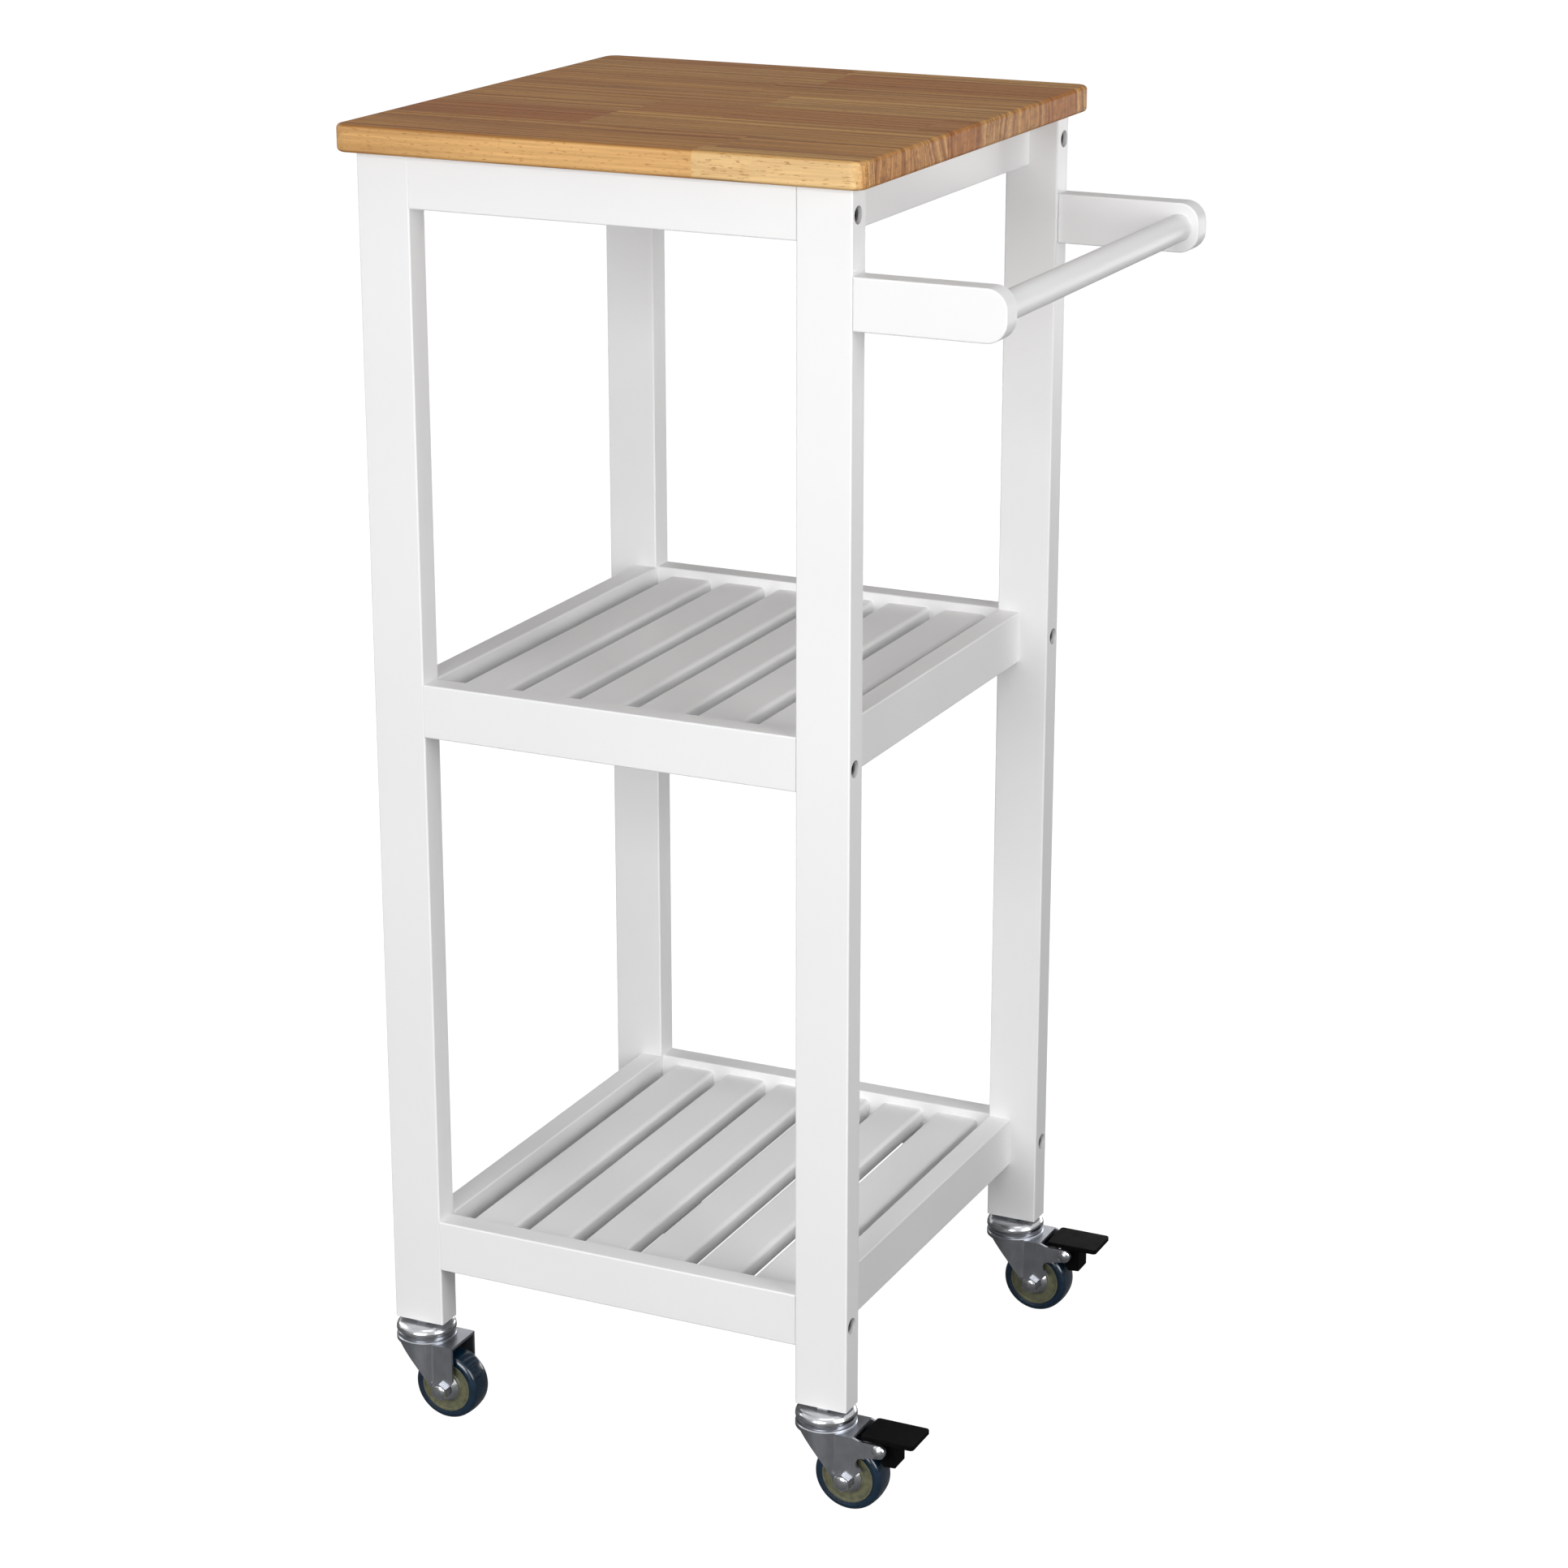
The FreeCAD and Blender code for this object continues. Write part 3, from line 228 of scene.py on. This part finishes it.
def butcher_block_finish():
    """Oiled rubberwood: growth rings about each block's own pith, fibres, and pores as short dark flecks; the
    faces above and below are painted darker as shade.
    """
    f = Finish("butcher_block_oiled", Specular_IOR_Level=0.13)
    place = f.position()
    shift = f.add("Attribute", "Vector", {"attribute_name": "block_shift"})
    pith = f.add("Attribute", "Vector", {"attribute_name": "block_pith"})
    tone = f.add("Attribute", "Fac", {"attribute_name": "block_tone"})
    warmth = f.add("Attribute", "Fac", {"attribute_name": "block_warmth"})
    grain = f.vector_math("ADD", place, shift)

    # Growth rings: the distance from the pith, bent slowly along the block.
    bend = f.noise(f.stretched(RING_BEND_SCALE, grain), detail=2.0)
    across = f.vector_math("MULTIPLY", f.vector_math("SUBTRACT", place, pith), (0.0, 1.0, 1.0))
    radius = f.vector_math("LENGTH", across)
    ring_place = f.math("ADD", f.math("MULTIPLY", radius, RING_DENSITY), f.math("MULTIPLY", bend, RING_BEND))
    rings = f.add(
        "TexNoise", "Fac", {"noise_dimensions": "1D"}, W=ring_place, Scale=1.0, Detail=5.0, Roughness=0.74
    )
    rings = f.map(rings, 0.32, 0.68, 0.0, 1.0)

    fibre = f.noise(f.stretched(FIBRE_SCALE, grain), detail=3.0, roughness=0.6)
    cloud = f.noise(f.stretched(CLOUD_SCALE, grain), detail=2.0)
    streaks = f.noise(f.stretched(STREAK_SCALE, grain), detail=3.0, roughness=0.6)
    pores = f.noise(f.stretched(PORE_SCALE, grain), detail=1.0)
    pores = f.map(pores, 0.61, 0.72, 0.0, 1.0)

    light = f.mix(warmth, PALE_WOOD, PALE_WARM_WOOD)
    dark = f.mix(warmth, DARK_WOOD, DARK_WARM_WOOD)
    colour = f.mix(tone, dark, light)

    # The faces above and below are painted darker than the sides: painted shade, standing in for the weaker
    # light that falls on them. End grain is redder.
    facing = f.add("TexCoord", "Normal")
    upright = f.math("ABSOLUTE", f.vector_math("DOT_PRODUCT", facing, (0.0, 0.0, 1.0)))
    endwise = f.math("ABSOLUTE", f.vector_math("DOT_PRODUCT", facing, (1.0, 0.0, 0.0)))
    # Painted shade mask: the faces above and below. It also sets how strong the grain and pores are there.
    level_face_shade = f.map(upright, 0.35, 0.95, 0.0, 1.0)
    end_grain = f.map(endwise, 0.45, 0.9, 0.0, 1.0)
    strength = f.math("MAXIMUM", level_face_shade, end_grain)

    bands = f.math("ADD", f.math("MULTIPLY", rings, 0.6), f.math("MULTIPLY", cloud, 0.4))
    bands = f.math("MULTIPLY", f.map(bands, 0.2, 0.8, 0.9, 0.0), f.map(strength, 0.0, 1.0, 0.35, 1.0))
    colour = f.mix(bands, colour, RING_BROWN)
    colour = f.mix(f.map(fibre, 0.3, 0.75, 0.34, 0.0), colour, FIBRE_BROWN)
    streaks = f.math("MULTIPLY", f.map(streaks, 0.36, 0.52, 0.42, 0.0), f.map(strength, 0.0, 1.0, 0.15, 1.0))
    colour = f.mix(streaks, colour, STREAK_BROWN)
    colour = f.mix(f.math("MULTIPLY", pores, f.map(level_face_shade, 0.0, 1.0, 0.55, 0.4)), colour, PORE_BROWN)
    # Painted shade: the faces above and below are darkened by the shade tint.
    colour = f.mix(level_face_shade, colour, f.mix(1.0, colour, LEVEL_FACE_SHADE_TINT, "MULTIPLY"))
    colour = f.mix(end_grain, colour, f.mix(1.0, colour, END_GRAIN_TINT, "MULTIPLY"))

    rough = f.math("ADD", f.map(fibre, 0.3, 0.7, 0.44, 0.56), f.math("MULTIPLY", pores, 0.2))
    relief = f.math("SUBTRACT", f.math("MULTIPLY", fibre, 0.4), pores)
    return f.finish(Base_Color=colour, Roughness=rough, Normal=f.bump(relief, GRAIN_RELIEF, 0.7))


def white_paint_finish():
    """Sprayed white lacquer on wood: a fine orange peel, a faint drift of tone and a few cream specks."""
    f = Finish("white_lacquer", Coat_Weight=0.08, Coat_Roughness=0.22)
    place = f.position()
    peel = f.noise(place, scale=260.0, detail=1.0)
    drift = f.noise(place, scale=9.0, detail=2.0)
    specks = f.noise(place, scale=900.0, detail=1.0)
    colour = f.mix(f.map(drift, 0.3, 0.7, 0.0, 1.0), LACQUER_LOW, LACQUER_HIGH)
    colour = f.mix(f.map(specks, 0.74, 0.8, 0.0, 0.12), colour, LACQUER_SPECK)
    rough = f.map(peel, 0.3, 0.7, 0.4, 0.45)
    return f.finish(Base_Color=colour, Roughness=rough, Normal=f.bump(peel, ORANGE_PEEL_RELIEF, 0.25))


def metal_finish(name, dark, light, rough_low, rough_high, scratches):
    """Plated steel between two linear colours: cloudy plating, fine scratches and uneven roughness."""
    f = Finish(name, Metallic=1.0)
    place = f.position()
    cloud = f.noise(place, scale=160.0, detail=3.0, roughness=0.6)
    lines = f.noise(f.stretched(scratches, place), scale=20.0, detail=2.0)
    mixed = f.math("ADD", f.math("MULTIPLY", cloud, 0.6), f.math("MULTIPLY", lines, 0.4))
    colour = f.mix(f.map(mixed, 0.35, 0.65, 0.0, 1.0), (*dark, 1), (*light, 1))
    rough = f.map(mixed, 0.3, 0.7, rough_low, rough_high)
    return f.finish(Base_Color=colour, Roughness=rough, Normal=f.bump(lines, METAL_RELIEF, 0.6))


def tyre_finish():
    """Glossy navy polyurethane with a faint scuffed tread."""
    f = Finish("tyre_polyurethane", Coat_Weight=0.6, Coat_Roughness=0.1, IOR=1.5)
    place = f.position()
    haze = f.noise(place, scale=180.0, detail=3.0)
    scuffs = f.noise(f.stretched((500.0, 2600.0, 500.0), place), detail=3.0, roughness=0.65)
    colour = f.mix(f.map(haze, 0.3, 0.7, 0.0, 1.0), TYRE_DARK, TYRE_LIGHT)
    colour = f.mix(f.map(scuffs, 0.68, 0.8, 0.0, 0.25), colour, TYRE_SCUFF)
    rough = f.map(scuffs, 0.35, 0.75, 0.14, 0.34)
    return f.finish(Base_Color=colour, Roughness=rough, Normal=f.bump(scuffs, 0.00002, 0.35))


def wheel_core_finish():
    """Olive moulded nylon with flow marks."""
    f = Finish("wheel_core_nylon", Coat_Weight=0.1, Coat_Roughness=0.3)
    place = f.position()
    flow = f.noise(f.stretched((260.0, 90.0, 260.0), place), detail=3.0, roughness=0.55)
    fine = f.noise(place, scale=1500.0, detail=1.0)
    colour = f.mix(f.map(flow, 0.3, 0.7, 0.0, 1.0), CORE_DARK, CORE_LIGHT)
    rough = f.map(fine, 0.3, 0.7, 0.36, 0.52)
    return f.finish(Base_Color=colour, Roughness=rough, Normal=f.bump(fine, 0.00002, 0.5))


def brake_plastic_finish():
    """Black moulded plastic with a fine spark-eroded texture."""
    f = Finish("brake_nylon_black", Specular_IOR_Level=0.03)
    place = f.position()
    grain = f.noise(place, scale=1300.0, detail=2.0, roughness=0.6)
    rub = f.noise(place, scale=120.0, detail=3.0)
    colour = f.mix(f.map(rub, 0.35, 0.7, 0.0, 1.0), PEDAL_DARK, PEDAL_LIGHT)
    rough = f.map(rub, 0.3, 0.7, 0.5, 0.62)
    return f.finish(Base_Color=colour, Roughness=rough, Normal=f.bump(grain, 0.00008, 0.6))


def dowel_finish():
    """Bare beech of the dowels, seen only at hairline gaps."""
    f = Finish("beech_dowel_plain", Roughness=0.6)
    fleck = f.noise(f.stretched((900.0, 900.0, 900.0)), detail=2.0)
    colour = f.mix(f.map(fleck, 0.3, 0.7, 0.0, 1.0), BEECH_DARK, BEECH_LIGHT)
    return f.finish(Base_Color=colour, Normal=f.bump(fleck, 0.00004, 0.5))


# Plated metals by slot: (name, dark, light, lowest roughness, highest roughness, scratches).
# Scratches are scales along X, Y and Z, and a low number draws them out that way.
EVEN = (60.0, 60.0, 60.0)
UPRIGHT = (60.0, 60.0, 6.0)
METALS = {
    "bolt_steel": ("bolt_black_zinc", (0.10, 0.10, 0.105), (0.17, 0.17, 0.18), 0.3, 0.45, EVEN),
    "zinc_steel": ("zinc_plate", (0.52, 0.53, 0.55), (0.66, 0.67, 0.69), 0.3, 0.46, EVEN),
    "ball_steel": ("ball_steel_bright", (0.55, 0.56, 0.58), (0.62, 0.63, 0.65), 0.1, 0.16, EVEN),
    "caster_chrome": ("caster_chrome_bright", (0.52, 0.53, 0.55), (0.6, 0.61, 0.63), 0.2, 0.26, EVEN),
    "axle_steel": ("axle_steel_bright", (0.5, 0.51, 0.53), (0.6, 0.61, 0.63), 0.2, 0.27, EVEN),
    "fork_steel": ("fork_plated_steel", (0.4, 0.415, 0.45), (0.46, 0.475, 0.51), 0.29, 0.35, UPRIGHT),
}

FINISHES = {
    "butcher_block": butcher_block_finish(),
    "white_paint": white_paint_finish(),
    "beech_dowel": dowel_finish(),
    "wheel_core": wheel_core_finish(),
    "tyre": tyre_finish(),
    "brake_plastic": brake_plastic_finish(),
}
for metal, values in METALS.items():
    FINISHES[metal] = metal_finish(*values)

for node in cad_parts.values():
    for slot in node.material_slots:
        slot.material = FINISHES[slot.material.name]


# ---------------------------------------------------------------- worktop
# Staves from the back edge to the front: (width, ((block length, tone, warmth), ...)), in millimetres.
# A tone of 0 is dark and 1 is light, and a warmth of 0 is plain and 1 is warm.
STAVES = (
    (27.0, ((200, 0.38, 0.6), (173, 0.95, 0.4))),
    (56.3, ((205, 0.66, 0.2), (168, 0.22, 0.9))),
    (56.3, ((180, 0.5, 0.5), (193, 0.68, 0.5))),
    (56.3, ((213, 0.5, 0.5), (160, 0.78, 0.1))),
    (56.2, ((145, 0.62, 0.4), (68, 0.34, 0.6), (137, 0.28, 0.6), (23, 0.25, 0.7))),
    (56.2, ((140, 0.02, 0.8), (233, 0.74, 0.4))),
    (56.2, ((265, 0.52, 0.6), (108, 0.6, 0.5))),
    (18.5, ((258, 0.6, 0.7), (115, 1.0, 0.2))),
)
CORNER_RADIUS = 10 * MM
EDGE_RADIUS = 3 * MM
CORNER_STEPS = 12
EDGE_STEPS = 6
SPAN_SLACK = 0.01 * MM
CUT_TOLERANCE = 1e-7

# Each block's grain: how far its pattern is shifted, and where its pith lies, beside the stave's middle
# line and above the board's underside. Negative is below.
GRAIN_SHIFT = 9
PITH_BESIDE = (0.09, 0.2)
PITH_ABOVE = (-0.012, 0.03)


def outline(low, high, inset):
    """The rounded rectangle of the board at that inset from its edge, as (x, y) points."""
    radius = CORNER_RADIUS - inset
    centres = (
        (high.x - CORNER_RADIUS, low.y + CORNER_RADIUS, -90),
        (high.x - CORNER_RADIUS, high.y - CORNER_RADIUS, 0),
        (low.x + CORNER_RADIUS, high.y - CORNER_RADIUS, 90),
        (low.x + CORNER_RADIUS, low.y + CORNER_RADIUS, 180),
    )
    points = []
    for x, y, start in centres:
        for step in range(CORNER_STEPS + 1):
            angle = math.radians(start + 90 * step / CORNER_STEPS)
            points.append((x + radius * math.cos(angle), y + radius * math.sin(angle)))
    return points


def board_rings(low, high):
    """(inset, z) of each ring of the board's rounded edge, from its underside to its top."""
    rings = []
    for step in range(EDGE_STEPS + 1):
        angle = math.radians(90 * step / EDGE_STEPS)
        rings.append((EDGE_RADIUS * (1 - math.sin(angle)), low.z + EDGE_RADIUS * (1 - math.cos(angle))))
    return rings + [(inset, high.z - (z - low.z)) for inset, z in reversed(rings)]


def cut(bm, faces, place, normal):
    """Cuts those faces along a plane, and keeps both sides."""
    geometry = set(faces)
    for face in faces:
        geometry.update(face.edges)
        geometry.update(face.verts)
    bmesh.ops.bisect_plane(bm, geom=list(geometry), plane_co=place, plane_no=normal, dist=CUT_TOLERANCE)


def in_span(face, axis, start, end):
    return start - SPAN_SLACK < face.calc_center_median()[axis] < end + SPAN_SLACK


def add_board(bm, low, high):
    """Adds the whole board, closed, with rounded corners and edges."""
    rings = [
        [bm.verts.new((x, y, z)) for x, y in outline(low, high, inset)]
        for inset, z in board_rings(low, high)
    ]
    for under, over in zip(rings, rings[1:]):
        for i in range(len(under)):
            j = (i + 1) % len(under)
            bm.faces.new((under[i], under[j], over[j], over[i]))
    bm.faces.new(rings[-1])
    bm.faces.new(reversed(rings[0]))


def cut_into_blocks(bm, low, high):
    """Cuts the board into its staves and their blocks, and gives each block's faces its tone and grain."""
    chance = random.Random(GRAIN_SEED)
    tone = bm.faces.layers.float.new("block_tone")
    warmth = bm.faces.layers.float.new("block_warmth")
    shift = bm.faces.layers.float_vector.new("block_shift")
    pith = bm.faces.layers.float_vector.new("block_pith")
    back = high.y
    for width, blocks in STAVES:
        front = max(back - width * MM, low.y)
        if front > low.y + MM:
            cut(bm, bm.faces[:], (0, front, 0), (0, 1, 0))
        left = low.x
        for length, block_tone, block_warmth in blocks:
            right = min(left + length * MM, high.x)
            stave = [f for f in bm.faces if in_span(f, 1, front, back)]
            if right < high.x - MM:
                cut(bm, stave, (right, 0, 0), (1, 0, 0))
            grain_shift = Vector([chance.uniform(-GRAIN_SHIFT, GRAIN_SHIFT) for _ in range(3)])
            side = chance.choice((-1, 1))
            block_pith = Vector((
                0,
                (front + back) / 2 + side * chance.uniform(*PITH_BESIDE),
                low.z + chance.uniform(*PITH_ABOVE),
            ))
            for face in bm.faces:
                if in_span(face, 1, front, back) and in_span(face, 0, left, right):
                    face[tone] = block_tone
                    face[warmth] = block_warmth
                    face[shift] = grain_shift
                    face[pith] = block_pith
            left = right
        back = front


def worktop():
    low, high = (Vector(corner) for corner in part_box("butcher_block_top"))
    bm = bmesh.new()
    add_board(bm, low, high)
    cut_into_blocks(bm, low, high)
    for face in bm.faces:
        face.smooth = True
    mesh = bpy.data.meshes.new("worktop_staves")
    bm.to_mesh(mesh)
    bm.free()
    board = bpy.data.objects.new("worktop_staves", mesh)
    scene.collection.objects.link(board)
    board.data.materials.append(FINISHES["butcher_block"])
    smooth = board.modifiers.new("edge_normals", "WEIGHTED_NORMAL")
    smooth.weight = 100
    smooth.keep_sharp = True
    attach(board, "cart_frame")
    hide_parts("butcher_block_top")


worktop()


# ---------------------------------------------------------------- studio
WHITE = (1, 1, 1, 1)
FLOOR_COLOUR = (0.16, 0.16, 0.16, 1)
FLOOR_GLOW = 0.96
FLOOR_RADIUS = 60.0
FLOOR_SEGMENTS = 96
FLOOR_GAP = 0.2 * MM
SKY_FADE_TOP = 0.45

# Softboxes: (name, azimuth and elevation in degrees, distance, width, height, watts). The rear one ends
# below the worktop, so it lights the back of the frame a little and leaves no veil on the top.
SOFTBOXES = (
    ("key_light", 0, 13, 3.2, 1.9, 1.8, 76),
    ("right_light", 72, 17, 2.1, 1.1, 1.2, 23),
    ("left_light", 264, 23, 2.8, 1.4, 1.4, 21),
    ("rear_light", 176, 0, 3.2, 2.4, 0.84, 28),
    ("top_light", 30, 80, 2.4, 1.4, 1.4, 11),
)


def pale_floor():
    """A white paper floor, brighter to the camera than it lights the cart, as an overexposed floor is."""
    f = Finish("studio_floor", Roughness=0.8, Base_Color=FLOOR_COLOUR, Emission_Color=WHITE)
    seen = f.add("LightPath", "Is Camera Ray")
    mesh = bpy.data.meshes.new("studio_floor")
    bm = bmesh.new()
    bmesh.ops.create_circle(bm, cap_ends=True, radius=FLOOR_RADIUS, segments=FLOOR_SEGMENTS)
    bm.to_mesh(mesh)
    bm.free()
    floor = bpy.data.objects.new("studio_floor", mesh)
    scene.collection.objects.link(floor)
    floor.location.z = cad_low.z - FLOOR_GAP
    mesh.materials.append(f.finish(Emission_Strength=f.math("MULTIPLY", seen, FLOOR_GLOW)))


def softbox(name, azimuth, elevation, distance, width, height, power):
    lamp = bpy.data.lights.new(name, "AREA")
    lamp.shape = "RECTANGLE"
    lamp.size = width
    lamp.size_y = height
    lamp.energy = power
    obj = bpy.data.objects.new(name, lamp)
    scene.collection.objects.link(obj)
    look_from(obj, centre, direction(math.radians(azimuth), math.radians(elevation)), distance)


def sky(camera_level, light_level, mirror_low, mirror_high):
    """An even white sky to the camera, dimmer as a light, and in mirrored light dark at the horizon."""
    world = bpy.data.worlds.new("studio_sky")
    world.use_nodes = True
    tree = world.node_tree
    tree.nodes.clear()

    def add(kind):
        return tree.nodes.new("ShaderNode" + kind)

    def backdrop(level):
        background = add("Background")
        background.inputs["Color"].default_value = WHITE
        if isinstance(level, bpy.types.NodeSocket):
            tree.links.new(level, background.inputs["Strength"])
        else:
            background.inputs["Strength"].default_value = level
        return background.outputs[0]

    def choose(factor, first, second):
        mix = add("MixShader")
        for index, socket in enumerate((factor, first, second)):
            tree.links.new(socket, mix.inputs[index])
        return mix.outputs[0]

    height = add("SeparateXYZ")
    tree.links.new(add("TexCoord").outputs["Generated"], height.inputs[0])
    ramp = add("MapRange")
    ramp.interpolation_type = "SMOOTHSTEP"
    tree.links.new(height.outputs["Z"], ramp.inputs[0])
    for index, value in ((1, 0.0), (2, SKY_FADE_TOP), (3, mirror_low), (4, mirror_high)):
        ramp.inputs[index].default_value = value
    path = add("LightPath").outputs
    lit = choose(path["Is Glossy Ray"], backdrop(light_level), backdrop(ramp.outputs[0]))
    seen = choose(path["Is Camera Ray"], lit, backdrop(camera_level))
    tree.links.new(seen, add("OutputWorld").inputs["Surface"])
    scene.world = world


scene.view_settings.view_transform = "Standard"
pale_floor()
sky(camera_level=1.0, light_level=0.07, mirror_low=0.05, mirror_high=0.9)
for values in SOFTBOXES:
    softbox(*values)
